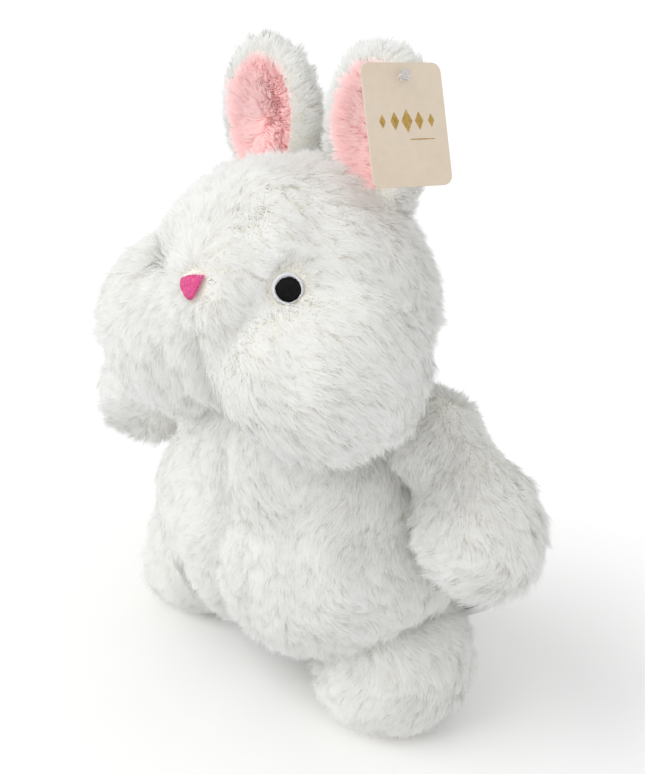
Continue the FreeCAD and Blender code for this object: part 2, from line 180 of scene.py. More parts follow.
def add(tree, kind, inputs=(), **settings):
    """A new shader node; an input is a value or another node's socket."""
    made = tree.nodes.new(kind)
    for key, value in settings.items():
        setattr(made, key, value)
    for key, value in dict(inputs).items():
        if isinstance(value, bpy.types.NodeSocket):
            tree.links.new(value, made.inputs[key])
        else:
            made.inputs[key].default_value = value
    return made


def ramp(tree, factor, stops):
    """A colour ramp with these stops, each a place and a colour."""
    made = add(tree, "ShaderNodeValToRGB", {"Fac": factor})
    made.color_ramp.elements[0].position = stops[0][0]
    made.color_ramp.elements[0].color = (*stops[0][1], 1)
    made.color_ramp.elements[1].position = stops[-1][0]
    made.color_ramp.elements[1].color = (*stops[-1][1], 1)
    for place, colour in stops[1:-1]:
        made.color_ramp.elements.new(place).color = (*colour, 1)
    return made.outputs["Color"]


def pile_material(name, along, across):
    """Fibres with one ramp from root to tip, which paints shade at the roots, times another from strand to
    strand.
    """
    made, tree, shader = material(name, Roughness=0.75, Sheen_Weight=0.3, Sheen_Roughness=0.4,
                                  Specular_IOR_Level=0.25)
    place = add(tree, "ShaderNodeUVMap", uv_map="OFBake").outputs["UV"]
    split = add(tree, "ShaderNodeSeparateXYZ", {"Vector": place})
    mixed = add(tree, "ShaderNodeMix", {0: 1.0, 6: ramp(tree, split.outputs["Y"], along),
                                        7: ramp(tree, split.outputs["X"], across)},
                data_type="RGBA", blend_type="MULTIPLY")
    tree.links.new(mixed.outputs[2], shader.inputs["Base Color"])
    return made


def backing_material(name, colour, shade):
    """The knitted ground of the plush."""
    made, tree, shader = material(name, Roughness=0.9, Sheen_Weight=0.2)
    place = add(tree, "ShaderNodeTexCoord").outputs["Object"]
    cloud = add(tree, "ShaderNodeTexNoise", {"Vector": place, "Scale": 60.0, "Detail": 4.0})
    knit = add(tree, "ShaderNodeTexVoronoi", {"Vector": place, "Scale": 900.0})
    tree.links.new(ramp(tree, cloud.outputs["Fac"], [(0.3, shade), (0.7, colour)]),
                   shader.inputs["Base Color"])
    bump = add(tree, "ShaderNodeBump", {"Height": knit.outputs["Distance"], "Strength": 0.5,
                                        "Distance": 0.0006})
    tree.links.new(bump.outputs["Normal"], shader.inputs["Normal"])
    return made


def thread_material(name, dark, light, sheen, gloss=0.4):
    """Glossy embroidery thread, a little uneven from stitch to stitch."""
    made, tree, shader = material(name, Roughness=0.45, Sheen_Weight=sheen,
                                  Specular_IOR_Level=gloss)
    place = add(tree, "ShaderNodeTexCoord").outputs["Object"]
    noise = add(tree, "ShaderNodeTexNoise", {"Vector": place, "Scale": 700.0, "Detail": 3.0})
    tree.links.new(ramp(tree, noise.outputs["Fac"], [(0.35, dark), (0.65, light)]),
                   shader.inputs["Base Color"])
    bump = add(tree, "ShaderNodeBump", {"Height": noise.outputs["Fac"], "Strength": 0.3,
                                        "Distance": 0.0002})
    tree.links.new(bump.outputs["Normal"], shader.inputs["Normal"])
    return made


# Painted shade: the white pile is darker and yellower at its roots, for the warm shade deep among the
# strands.
WHITE_PILE = pile_material("white_pile",
                           [(0, (0.69, 0.67, 0.60)), (0.45, (0.82, 0.82, 0.80)), (1, (0.845, 0.85, 0.845))],
                           [(0, (0.96, 0.96, 0.95)), (1, (1, 1, 1))])
# Painted shade: the pink pile is darker at its roots, for the shade deep among the strands.
PINK_PILE = pile_material("pink_pile",
                          [(0, (0.98, 0.80, 0.80)), (0.5, (1.0, 0.96, 0.96)), (1, (1, 1, 1))],
                          [(0, (1.0, 0.90, 0.89)), (0.4, (1.0, 0.70, 0.69)), (1, (1.0, 0.56, 0.56))])
WHITE_GROUND = backing_material("white_ground", (0.93, 0.91, 0.82), (0.88, 0.86, 0.76))
PINK_GROUND = backing_material("pink_ground", (0.92, 0.42, 0.42), (0.86, 0.34, 0.35))
WHITE_THREAD = thread_material("white_thread_cover", (0.74, 0.75, 0.78), (0.86, 0.87, 0.89), 0.2)
BLACK_THREAD = thread_material("black_thread_cover", (0.003, 0.003, 0.003), (0.009, 0.009, 0.010), 0.0,
                               gloss=0.12)
PINK_THREAD = thread_material("pink_thread_cover", (0.62, 0.045, 0.20), (0.80, 0.10, 0.32), 0.2)


# ---------------------------------------------------------------- camera, light and floor

LOOK_AT = np.array((0.0, -0.017, 0.195))
AZIMUTH, ELEVATION, ROLL = math.radians(38), math.radians(29), math.radians(5)
CAMERA_DISTANCE = 0.600
SENSOR_HEIGHT = 36
LENS = 45.16
SHIFT_X, SHIFT_Y = 0.0252, 0.0233
KEY_PLACE, KEY_STRENGTH, KEY_ANGLE = (-0.9, -0.9, 1.4), 1.3, 40
FILL_PLACE, FILL_STRENGTH, FILL_ANGLE = (1.3, -0.7, 0.8), 0.12, 80
SKY_STRENGTH = 0.80
FLOOR_REACH = 12


def camera():
    """A camera to the front left of the bunny and above it, rolled a little."""
    back = np.array((math.sin(AZIMUTH) * math.cos(ELEVATION),
                     -math.cos(AZIMUTH) * math.cos(ELEVATION), math.sin(ELEVATION)))
    right = np.array((math.cos(AZIMUTH), math.sin(AZIMUTH), 0.0))
    up = np.cross(back, right)
    rolled = math.cos(ROLL) * right + math.sin(ROLL) * up
    raised = math.cos(ROLL) * up - math.sin(ROLL) * right
    data = bpy.data.cameras.new("camera")
    data.sensor_fit = "VERTICAL"
    data.sensor_height = SENSOR_HEIGHT
    data.lens = LENS
    data.shift_x = SHIFT_X
    data.shift_y = SHIFT_Y
    data.clip_start = 0.01
    made = bpy.data.objects.new("camera", data)
    bpy.context.scene.collection.objects.link(made)
    turn = Matrix([Vector(v) for v in (rolled, raised, back)]).transposed().to_4x4()
    made.matrix_world = Matrix.Translation(Vector(LOOK_AT + CAMERA_DISTANCE * back)) @ turn
    bpy.context.scene.camera = made


def soft_light(name, place, strength, angle):
    """A very wide sun, so that the floor is lit as evenly as the object."""
    data = bpy.data.lights.new(name, "SUN")
    data.energy = strength
    data.angle = math.radians(angle)
    made = bpy.data.objects.new(name, data)
    made.location = place
    made.rotation_euler = (Vector(LOOK_AT) - Vector(place)).to_track_quat("-Z", "Y").to_euler()
    bpy.context.scene.collection.objects.link(made)


def studio():
    """Two soft lights, an even sky and a plain pale floor."""
    soft_light("key", KEY_PLACE, KEY_STRENGTH, KEY_ANGLE)
    soft_light("fill", FILL_PLACE, FILL_STRENGTH, FILL_ANGLE)
    world = bpy.data.worlds.new("studio")
    bpy.context.scene.world = world
    world.use_nodes = True
    world.node_tree.nodes["Background"].inputs["Color"].default_value = (1, 1, 1, 1)
    world.node_tree.nodes["Background"].inputs["Strength"].default_value = SKY_STRENGTH
    bpy.context.scene.view_settings.view_transform = "Standard"
    bpy.context.scene.view_settings.look = "None"
    floor = mesh_object("floor", FLOOR_REACH * np.array([(-1, -1, 0), (1, -1, 0), (1, 1, 0), (-1, 1, 0)]),
                        [np.array([[0, 1, 2, 3]])])
    paper, tree, shader = material("floor_paper", Roughness=0.9, Specular_IOR_Level=0.1)
    place = add(tree, "ShaderNodeTexCoord").outputs["Object"]
    grain = add(tree, "ShaderNodeTexNoise", {"Vector": place, "Scale": 9.0, "Detail": 2.0})
    pale = ramp(tree, grain.outputs["Fac"], [(0.3, (0.965, 0.965, 0.965)), (0.7, (0.98, 0.98, 0.98))])
    tree.links.new(pale, shader.inputs["Base Color"])
    floor.data.materials.append(paper)


camera()
studio()


# ---------------------------------------------------------------- skins

SEAM_WIDTH = 5.5 * MM
EAR_ROLL_START = 7 * MM
EAR_ROLL_RADIUS = 4.5 * MM
SHOULDER_SLIM = 4 * MM
CREASE_ROUNDS = 40
COARSE_DENT, COARSE_SPAN = 1.7 * MM, 48 * MM
FINE_DENT, FINE_SPAN = 1.1 * MM, 18 * MM
SUNK_AT_PATCH = 0.2 * MM
CALM_FROM, CALM_TO = 1.2 * MM, 8 * MM
FLOOR_GAP = 0.3 * MM
SHALLOW_SEAM = 3 * MM
SHALLOW_GAP = 0.004
SEAM_END_GAP = 0.06


def features():
    """The name, centre and radius of each embroidered eye and of the nose, which comes last."""
    found = []
    for node in ("left_eye_ring", "right_eye_ring", "nose"):
        low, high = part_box(node)
        middle = (np.array(low) + np.array(high)) / 2
        found.append((node, middle, 0.5 * np.sort(np.array(high) - np.array(low))[-1]))
    return found


FEATURES = features()
PATCHES = [cad_tree(node) for node in ("left_eye_ring", "left_eye_pupil", "right_eye_ring",
                                       "right_eye_pupil", "nose")]
FAR = 25 * MM


def patch_gap(points):
    """How far each point is from the nearest embroidered patch, up to FAR."""
    gap = np.full(len(points), FAR)
    for i, place in enumerate(points.tolist()):
        for tree in PATCHES:
            found = tree.find_nearest(place, FAR)[3]
            if found is not None and found < gap[i]:
                gap[i] = found
    return gap


def rolled_back(p):
    """The top of the left ear rolls back, so that its upper edge is straight."""
    past = np.maximum(0, p[:, 2] - (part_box("left_ear_outer")[1][2] - EAR_ROLL_START))
    turn = past / EAR_ROLL_RADIUS
    p[:, 2] += EAR_ROLL_RADIUS * np.sin(turn) - past
    p[:, 1] += EAR_ROLL_RADIUS * (1 - np.cos(turn))
    return p


def shoulder_share(p):
    """Nought on the hand, rising to one on top of the shoulder."""
    low, high = p[:, 2].min(), p[:, 2].max()
    return step((p[:, 2] - low) / (high - low), 0.5, 0.85)


def remeshed(body, nodes, voxel, rounds):
    """One closed, lightly smoothed mesh round all these CAD nodes."""
    points, faces, count = [], [], 0
    for node in nodes:
        p, _, t = cad(node)
        points.append(p)
        faces.append(t + count)
        count += len(p)
    rough = mesh_object(body + "_rough", np.concatenate(points), [np.concatenate(faces)])
    remesh = rough.modifiers.new("remesh", "REMESH")
    remesh.mode = "VOXEL"
    remesh.voxel_size = voxel
    smooth = rough.modifiers.new("smooth", "SMOOTH")
    smooth.factor = 0.5
    smooth.iterations = rounds
    graph = bpy.context.evaluated_depsgraph_get()
    mesh = bpy.data.meshes.new_from_object(rough.evaluated_get(graph))
    bpy.data.objects.remove(rough)
    return mesh


def set_points(mesh, points):
    mesh.vertices.foreach_set("co", points.astype(np.float32).ravel())
    mesh.update()


def seam_lines(p, seams):
    """How deep the seams pull each point in, and how far each point is from a seam."""
    sink = np.zeros(len(p))
    away = np.full(len(p), 1.0)
    near = {node: distances(cad_tree(node), p) for pair in seams for node in pair[:2]}
    for a, b, depth, top in seams:
        gap = np.maximum(near[a], near[b]) + SEAM_END_GAP * step(p[:, 2], top - 12 * MM, top + 4 * MM)
        sink = np.maximum(sink, depth * np.exp(-(gap / SEAM_WIDTH) ** 2))
        away = np.minimum(away, gap + SHALLOW_GAP * (depth < SHALLOW_SEAM))
    return sink, away


def skin(body, nodes, voxel, rounds, seams=(), dents=1.0, proud=1.5 * MM):
    """One closed surface over a body's covers: its creases filled, sunk along its seams, gently dented."""
    mesh = remeshed(body, nodes, voxel, rounds)
    p, n, t = read_mesh(mesh)
    plain, plain_normals = p, n
    filled = relaxed(p, t, CREASE_ROUNDS)
    set_points(mesh, relaxed(p + n * np.maximum(0, ((filled - p) * n).sum(1))[:, None], t, 3))
    p, n, t = read_mesh(mesh)
    sink, seam = seam_lines(p, seams)
    calm = np.ones(len(p))
    if body == "head":
        calm = step(patch_gap(p), CALM_FROM, CALM_TO)
    lumps = (COARSE_DENT * waves(p, COARSE_SPAN, 11)[:, 0]
             + FINE_DENT * waves(p, FINE_SPAN, 12)[:, 0])
    p = p + n * (proud + dents * calm * lumps - calm * sink)[:, None]
    low = plain - SUNK_AT_PATCH * plain_normals
    p = p * calm[:, None] + low * (1 - calm)[:, None]
    if body.endswith("arm"):
        p = p - n * (SHOULDER_SLIM * shoulder_share(p))[:, None]
    p[:, 2] = np.maximum(p[:, 2], FLOOR_GAP)
    if body == "left_ear":
        p = rolled_back(p)
    set_points(mesh, p)
    mesh.polygons.foreach_set("use_smooth", np.ones(len(mesh.polygons), bool))
    p, n, t = read_mesh(mesh)
    return {"body": body, "mesh": mesh, "points": p, "normals": n, "triangles": t, "seam": seam,
            "tree": tree_of(p, t), "nodes": nodes}


SIDES = ("left", "right")
LINING_EDGE = 4.5 * MM
LINING_FACES = 0.35
TOP = 1.0
FRONTS = [("body_front_left", "body_front_right", 4 * MM, TOP), ("body_front_left", "body_back", 2 * MM, TOP),
          ("body_front_right", "body_back", 2 * MM, TOP)]
FACES = [("face_left", "face_right", 6.5 * MM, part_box("nose")[0][2]),
         ("face_left", "head_rear", 1.2 * MM, TOP), ("face_right", "head_rear", 1.2 * MM, TOP)]
SKINS = {
    "torso": skin("torso", ["body_front_left", "body_front_right", "body_back", "body_stuffing"],
                  4.5 * MM, 8, FRONTS, proud=2.5 * MM),
    "head": skin("head", ["face_left", "face_right", "head_rear", "head_stuffing"],
                 4 * MM, 8, FACES, proud=2.2 * MM),
    "tail": skin("tail", ["tail_cover", "tail_stuffing"], 3 * MM, 4),
}
for side in SIDES:
    for limb in ("arm", "leg"):
        name = f"{side}_{limb}"
        SKINS[name] = skin(name, [name + "_cover", name + "_stuffing"], 3.5 * MM, 6)
    SKINS[side + "_ear"] = skin(side + "_ear", [f"{side}_ear_outer", f"{side}_ear_padding",
                                                f"{side}_ear_lining"], 2 * MM, 5, dents=0.35)
    ear = SKINS[side + "_ear"]
    near = distances(cad_tree(f"{side}_ear_lining"), ear["points"])
    ear["edge"] = near
    ear["lining"] = (near < LINING_EDGE) & (ear["normals"][:, 1] < LINING_FACES)

BURIED_PROBE = 2 * MM
NEIGHBOURS = {
    "torso": ["left_arm", "right_arm", "left_leg", "right_leg", "head"],
    "head": ["torso", "left_ear", "right_ear"],
    "tail": ["torso"],
}
for side in SIDES:
    NEIGHBOURS[side + "_arm"] = ["torso"]
    NEIGHBOURS[side + "_leg"] = ["torso"]
    NEIGHBOURS[side + "_ear"] = ["head"]
for name, held in SKINS.items():
    buried = np.full(len(held["points"]), -1.0)
    lifted = held["points"] + BURIED_PROBE * held["normals"]
    for other in NEIGHBOURS[name]:
        buried = np.maximum(buried, depths(SKINS[other]["tree"], lifted))
    held["buried"] = buried


def show_skin(name, body):
    """The knitted ground of the plush, in the place of the CAD covers."""
    held = SKINS[name]
    mesh = held["mesh"]
    mesh.name = name + "_cloth"
    made = bpy.data.objects.new(name + "_cloth", mesh)
    bpy.context.scene.collection.objects.link(made)
    mesh.materials.clear()
    mesh.materials.append(WHITE_GROUND)
    if "lining" in held:
        mesh.materials.append(PINK_GROUND)
        pink = [int(all(held["lining"][v] for v in face.vertices)) for face in mesh.polygons]
        mesh.polygons.foreach_set("material_index", pink)
    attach(made, body)
    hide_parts(*held["nodes"])


for name in SKINS:
    show_skin(name, "torso" if name == "tail" else name)


# ---------------------------------------------------------------- pile

STRAND_WIDTH = 0.34 * MM
MOST_STRANDS = 60000
# One part of the pile in this many shades what is beside it, and the others only catch light.
SHADING_SHARE = 4
DEEPEST_ROOT = 1.5 * MM
STRAND_FLOOR = 0.2 * MM
LOCK = 5.5 * MM
SLOW_WAVER, SLOW_SPAN = 0.55, 40 * MM
QUICK_WAVER, QUICK_SPAN = 0.2, 14 * MM
LOCK_STRAY, STRAND_STRAY, OWN_TILT = 0.25, 0.16, 0.07
BEND_BELOW, BEND_ABOVE = 0.45, 0.40
LEAST_PULL, MOST_PULL = 0.05, 0.28
SEAM_TRIM = 0.4
CARD_GAP = 0.8 * MM


def areas(held):
    """The area of each of a skin's triangles."""
    p, t = held["points"], held["triangles"]
    a, b, c = (p[t[:, i]] for i in range(3))
    return np.linalg.norm(np.cross(b - a, c - a), axis=1) / 2


def scatter(held, count, rng):
    """Random places spread evenly over a skin, with what the skin knows at each."""
    share = areas(held)
    corners = held["triangles"][rng.choice(len(share), count, p=share / share.sum())]
    u, v = rng.random(count), rng.random(count)
    turned = u + v > 1
    u[turned], v[turned] = 1 - u[turned], 1 - v[turned]
    weights = np.stack([1 - u - v, u, v], 1)
    mix = {key: np.einsum("ij,ij...->i...", weights, held[key][corners].astype(float))
           for key in ("points", "normals", "seam", "buried", "lining", "edge") if key in held}
    mix["normals"] = unit(mix["normals"])
    return mix


def nearest(places, others):
    """For each place, which of the others is nearest."""
    tree = KDTree(len(others))
    for i, place in enumerate(others.tolist()):
        tree.insert(place, i)
    tree.balance()
    return np.array([tree.find(place)[1] for place in places.tolist()])


def lean(points, normals, comb, seed):
    """The combed direction in the skin's plane, with some slow and some quick waver."""
    flow = comb(points, normals)
    flow = flow + SLOW_WAVER * waves(points, SLOW_SPAN, seed + 1, 3)
    flow = flow + QUICK_WAVER * waves(points, QUICK_SPAN, seed + 2, 3)
    flow = flow - normals * (flow * normals).sum(1, keepdims=True)
    return unit(flow)


def grow(name, held, density, length, tilt, seed, comb, keep, stretch=None, lock=LOCK):
    """The roots, bends and tips of strands all over a skin, gathered into soft locks."""
    rng = np.random.default_rng(seed)
    area = areas(held).sum()
    roots = scatter(held, int(area * density), rng)
    wanted = keep(roots) & (roots["buried"] < DEEPEST_ROOT)
    roots = {key: value[wanted] for key, value in roots.items()}
    q, up = roots["points"], roots["normals"]
    count = len(q)
    seeds = scatter(held, int(area / lock ** 2), rng)
    home = nearest(q, seeds["points"])
    locks = len(seeds["points"])
    own_length = rng.uniform(0.85, 1.12, locks)
    own_tilt = rng.normal(0, OWN_TILT, locks)
    lock_flow = unit(lean(seeds["points"], seeds["normals"], comb, seed)
                     + LOCK_STRAY * rng.normal(size=(locks, 3)))
    flow = unit(0.5 * lean(q, up, comb, seed) + 0.5 * lock_flow[home]
                + STRAND_STRAY * rng.normal(size=(count, 3)))
    slope = tilt + own_tilt[home] + rng.normal(0, OWN_TILT, count)
    size = length * own_length[home] * rng.uniform(0.72, 1.12, count)
    size *= 1 - SEAM_TRIM * np.exp(-(roots["seam"] / (1.1 * SEAM_WIDTH)) ** 2)
    if stretch is not None:
        size, slope = stretch(roots, size, slope)
    rise = up * np.cos(slope - BEND_BELOW)[:, None] + flow * np.sin(slope - BEND_BELOW)[:, None]
    fall = up * np.cos(slope + BEND_ABOVE)[:, None] + flow * np.sin(slope + BEND_ABOVE)[:, None]
    middle = q + 0.5 * size[:, None] * rise
    tip = middle + 0.5 * size[:, None] * fall
    peak = seeds["points"][home] + length * own_length[home][:, None] * (
        seeds["normals"][home] * math.cos(tilt) + lock_flow[home] * math.sin(tilt))
    pull = rng.uniform(LEAST_PULL, MOST_PULL, count)[:, None]
    tip = tip + pull * (peak - tip) * np.minimum(1, size / length)[:, None]
    middle = middle + 0.35 * pull * ((q + peak) / 2 - middle)
    for line in (middle, tip):
        line[:, 2] = np.maximum(line[:, 2], STRAND_FLOOR)
    tone = rng.random(count)
    if "lining" in name:
        tone = np.clip(1 - roots["edge"] / LINING_EDGE, 0, 1) * rng.uniform(0.75, 1.0, count)
    return {"root": q, "middle": middle, "tip": tip, "normal": up, "tone": tone, "seed": seed,
            "name": name}


def off_card(strands):
    """Leaves out the strands that would reach through the swing tag."""
    middle, normal, long_way, short_way = flat_frame("swing_tag")
    normal = normal if normal[1] < 0 else -normal
    card = cad("swing_tag")[0] - middle
    free = np.ones(len(strands["tip"]), bool)
    for end in ("middle", "tip"):
        place = strands[end] - middle
        over = (np.abs(place @ long_way) < np.abs(card @ long_way).max() + MM) & (
            np.abs(place @ short_way) < np.abs(card @ short_way).max() + MM)
        free &= ~(over & (place @ normal > -CARD_GAP))
    return {key: value[free] if isinstance(value, np.ndarray) else value for key, value in strands.items()}


def ribbons(strands, body, finish, lift=0.0):
    """Tapered ribbons, in pieces small enough to export whole; lift turns their shading upwards."""
    rng = np.random.default_rng(strands["seed"] + 5)
    strands = off_card(strands)
    count = len(strands["root"])
    order = rng.permutation(count)
    parts = SHADING_SHARE * int(math.ceil(count / (SHADING_SHARE * MOST_STRANDS)))
    for part in range(parts):
        pick = order[part::parts]
        root, middle, tip, up = (strands[key][pick] for key in ("root", "middle", "tip", "normal"))
        number = len(pick)
        along = unit(tip - root)
        across = unit(np.cross(along, up))
        twist = rng.normal(0, 0.4, number)[:, None]
        side = across * np.cos(twist) + np.cross(along, across) * np.sin(twist)
        half = 0.5 * STRAND_WIDTH * rng.uniform(0.7, 1.2, number)[:, None] * side
        points = np.stack([root - half, root + half, middle + 0.85 * half, middle - 0.85 * half, tip], 1)
        face = np.cross(root + half - (root - half), middle - root)
        flip = (face * up).sum(1) < 0
        points[flip] = points[flip][:, [1, 0, 3, 2, 4]]
        face = unit(np.where(flip[:, None], -face, face))
        base = 5 * np.arange(number)[:, None]
        quads = base + np.array([0, 1, 2, 3])
        tips = base + np.array([3, 2, 4])
        tone = np.repeat(strands["tone"][pick], 5)
        # Height runs from root to tip; the pile ramps paint shade where it is low.
        height = np.tile([0.0, 0.0, 0.5, 0.5, 1.0], number)
        bend = unit(up + lift * UP + 0.10 * face + 0.06 * rng.normal(size=(number, 3)))
        made = mesh_object(f"{strands['name']}_{part + 1}" if parts > 1 else strands["name"],
                           points.reshape(-1, 3), [quads, tips], np.stack([tone, height], 1),
                           np.repeat(bend, 5, axis=0))
        made.data.materials.append(finish)
        made.visible_shadow = False
        made.visible_diffuse = part % SHADING_SHARE == 0
        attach(made, body)


def falling(name):
    """The pile falls from the crown of a skin: outwards on top, and down its sides."""
    held = SKINS[name]["points"]
    crown = (held.min(0) + held.max(0)) / 2

    def comb(points, normals):
        away = unit((points - crown) * (1, 1, 0))
        return 0.9 * away * step(normals[:, 2:], -0.1, 0.5) - UP

    return comb


def face_comb(points, normals):
    """The pile spreads from the nose and parts round the eyes; under an eye it stands up over its edge."""
    flow = unit(points - FEATURES[-1][1]) + 0.4 * falling("head")(points, normals)
    for node, middle, radius in FEATURES:
        away, close, under = round_feature(points, node, middle, radius)
        flow = flow + close * (2.2 * away * (1 - under) + 3.5 * UP * under)
    return flow


FEATURE_ROOM = 1.7 * MM
LESS_UNDER_EYE = 1.3 * MM
FEATURE_REACH = 14 * MM


def round_feature(points, node, middle, radius):
    """The direction from an eye or the nose, how close each point is, and how far under an eye."""
    far = np.linalg.norm(points - middle, axis=1, keepdims=True)
    away = (points - middle) / far
    close = 1 - step(far, radius, radius + FEATURE_REACH)
    return away, close, step(-away[:, 2:], 0.72, 0.92) * (node != "nose")


def bare_features(roots):
    """No pile grows on the embroidery, and it comes closest under the eyes."""
    room = np.full(len(roots["points"]), FEATURE_ROOM)
    for node, middle, radius in FEATURES:
        _, close, under = round_feature(roots["points"], node, middle, radius)
        room -= LESS_UNDER_EYE * (close * under)[:, 0]
    return patch_gap(roots["points"]) > room


# How much longer the pile beside each feature is on its side towards the nose.
BRIDGE_PILE = {"left_eye_ring": 0.2, "right_eye_ring": 0.9, "nose": 0.0}


def trim_face(roots, size, slope):
    """Shorter beside the embroidery, longer on the jowls and, beside an eye, towards the nose."""
    near = 1 - step(patch_gap(roots["points"]), 0, 7 * MM)
    size = size * (1 - 0.35 * near)
    slope = slope + 0.10 * near
    for node, middle, radius in FEATURES:
        away, close, under = round_feature(roots["points"], node, middle, radius)
        inner = close[:, 0] * step(-np.sign(middle[0]) * away[:, 0], 0.3, 0.8) * (node != "nose")
        bridge = BRIDGE_PILE[node]
        size = size * (1 - 0.25 * (close * under)[:, 0] + bridge * inner)
        slope = slope - (0.3 + bridge) * inner
    low, high = SKINS["head"]["points"].min(0), SKINS["head"]["points"].max(0)
    level = (roots["points"][:, 2] - low[2]) / (high[2] - low[2])
    jowl = (1 - step(level, 0.12, 0.42)) * step(np.abs(roots["points"][:, 0]), 0.02, 0.06)
    return size * (1 + 0.35 * jowl), slope - 0.12 * jowl


def trim_hand(roots, size, slope):
    """Shorter pile on the shoulder and a longer fringe under the hand."""
    low, high = roots["points"][:, 2].min(), roots["points"][:, 2].max()
    level = (roots["points"][:, 2] - low) / (high - low)
    fringe = 1 - step(level, 0.10, 0.42)
    shoulder = shoulder_share(roots["points"])
    return size * (1 + 0.3 * fringe - 0.25 * shoulder), slope - 0.10 * fringe + 0.1 * shoulder


def trim_foot(roots, size, slope):
    """Pile on the soles is pressed flat."""
    sole = 1 - step(roots["points"][:, 2], 2 * MM, 34 * MM)
    return size * (1 - 0.5 * sole), slope


def ear_comb(side):
    """Up the ear, and on its front outwards from the lining."""
    low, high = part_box(side + "_ear_lining")
    middle = (np.array(low) + np.array(high)) / 2

    def comb(points, normals):
        away = (points - middle) * (1, 0, 0.6)
        return 0.7 * UP + 1.3 * unit(away) * step(-normals[:, 1:2], -0.6, 0.3)

    return comb


def everywhere(roots):
    """Pile grows on the whole skin."""
    return np.ones(len(roots["points"]), bool)


def off_sole(roots):
    """No pile grows where a foot rests on the floor."""
    return (roots["points"][:, 2] > 2.5 * MM) | (roots["normals"][:, 2] > -0.6)


def off_lining(roots):
    return roots["lining"] < 0.5


def on_lining(roots):
    return roots["lining"] >= 0.5


PILE = 12 * MM
TAIL_PILE = 0.7 * PILE
EAR_PILE = 0.72 * PILE
LINING_PILE = 7 * MM
LEAN, EAR_LEAN, LINING_LEAN = 1.12, 0.95, 0.85
DENSITY = 2.4e6
LINING_DENSITY = 1.3 * DENSITY
LINING_LOCK = 6 * MM
LINING_LIFT = 0.6


def white_pile(name, body, length, tilt, seed, comb, keep=everywhere, stretch=None):
    """The long white pile of one skin."""
    strands = grow(name + "_pile", SKINS[name], DENSITY, length, tilt, seed, comb, keep, stretch)
    ribbons(strands, body, WHITE_PILE)


def lining_pile(ear, comb, seed):
    """The short pink pile in the front of one ear."""
    strands = grow(ear + "_lining_pile", SKINS[ear], LINING_DENSITY, LINING_PILE, LINING_LEAN, seed, comb,
                   on_lining, lock=LINING_LOCK)
    ribbons(strands, ear, PINK_PILE, LINING_LIFT)


white_pile("torso", "torso", PILE, LEAN, 100, falling("torso"))
white_pile("head", "head", PILE, LEAN, 200, face_comb, bare_features, trim_face)
white_pile("tail", "torso", TAIL_PILE, LEAN, 300, falling("tail"))
for order, side in enumerate(SIDES):
    arm, leg, ear = side + "_arm", side + "_leg", side + "_ear"
    white_pile(arm, arm, PILE, LEAN, 400 + 10 * order, falling(arm), stretch=trim_hand)
    white_pile(leg, leg, PILE, LEAN, 500 + 10 * order, falling(leg), off_sole, trim_foot)
    white_pile(ear, ear, EAR_PILE, EAR_LEAN, 600 + 10 * order, ear_comb(side), off_lining)
    lining_pile(ear, ear_comb(side), 700 + 10 * order)


# ---------------------------------------------------------------- embroidery

RAY_RISE = 0.01
RAY_REACH = 0.03


def stitches(name, starts, ends, normal, body, node, finish, radius=0.34 * MM, swell=0.5 * MM):
    """Threads laid in arcs over a CAD patch, each from its start to its end."""
    tree = cad_tree(node)
    sides, stations = 6, 7
    share = np.linspace(0, 1, stations)
    line = starts[:, None] + (ends - starts)[:, None] * share[None, :, None]
    flat = line.reshape(-1, 3)
    hit = np.empty_like(flat)
    for i, place in enumerate(flat.tolist()):
        above = Vector(place) + RAY_RISE * Vector(normal)
        found = tree.ray_cast(above, -Vector(normal), RAY_REACH)[0]
        beside = Vector(tree.find_nearest(place)[0]) - Vector(place)
        hit[i] = found if found is not None else Vector(place) + beside.dot(Vector(normal)) * Vector(normal)
    line = hit.reshape(line.shape) + normal * (swell * np.sin(math.pi * share))[None, :, None]
    across = unit(np.cross(unit(ends - starts), normal))
    angle = np.linspace(0, 2 * math.pi, sides, endpoint=False)
    taper = np.array([0.55] + [1.0] * (stations - 2) + [0.55])
    ring = (np.cos(angle)[None, :, None] * across[:, None, :]
            + np.sin(angle)[None, :, None] * normal[None, None, :]) * radius
    points = line[:, :, None, :] + ring[:, None, :, :] * taper[None, :, None, None]
    count = len(starts)
    base = (np.arange(count)[:, None, None] * stations + np.arange(stations - 1)[None, :, None]) * sides
    corner = np.arange(sides)[None, None, :]
    following = (corner + 1) % sides
    quads = np.stack([base + corner, base + following, base + sides + following, base + sides + corner], -1)
    first = np.arange(count)[:, None] * stations * sides + np.arange(sides)[None, ::-1]
    last = np.arange(count)[:, None] * stations * sides + (stations - 1) * sides + np.arange(sides)[None, :]
    made = mesh_object(name, points.reshape(-1, 3), [quads.reshape(-1, 4), first, last])
    made.data.materials.append(finish)
    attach(made, body)
    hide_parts(node)


def outward(node):
    """A thin node's normal, pointing away from the middle of the head."""
    middle, normal, _, _ = flat_frame(node)
    low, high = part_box("head_stuffing")
    if (middle - (np.array(low) + np.array(high)) / 2) @ normal < 0:
        normal = -normal
    return normal


def upright(normal):
    """Level and upward directions in the plane of an eye or the nose."""
    level = unit(np.cross(UP, normal))
    return level, np.cross(normal, level)


def disc(u, v):
    """Inside a round outline."""
    return u * u + v * v < 1


def rounded_triangle(u, v):
    """Inside an outline that is flat on top and drawn in to a blunt point below, a little to one side."""
    return -1 + 1.3 * abs(u + 0.2) ** 1.9 < v < 0.72 - 0.1 * u * u


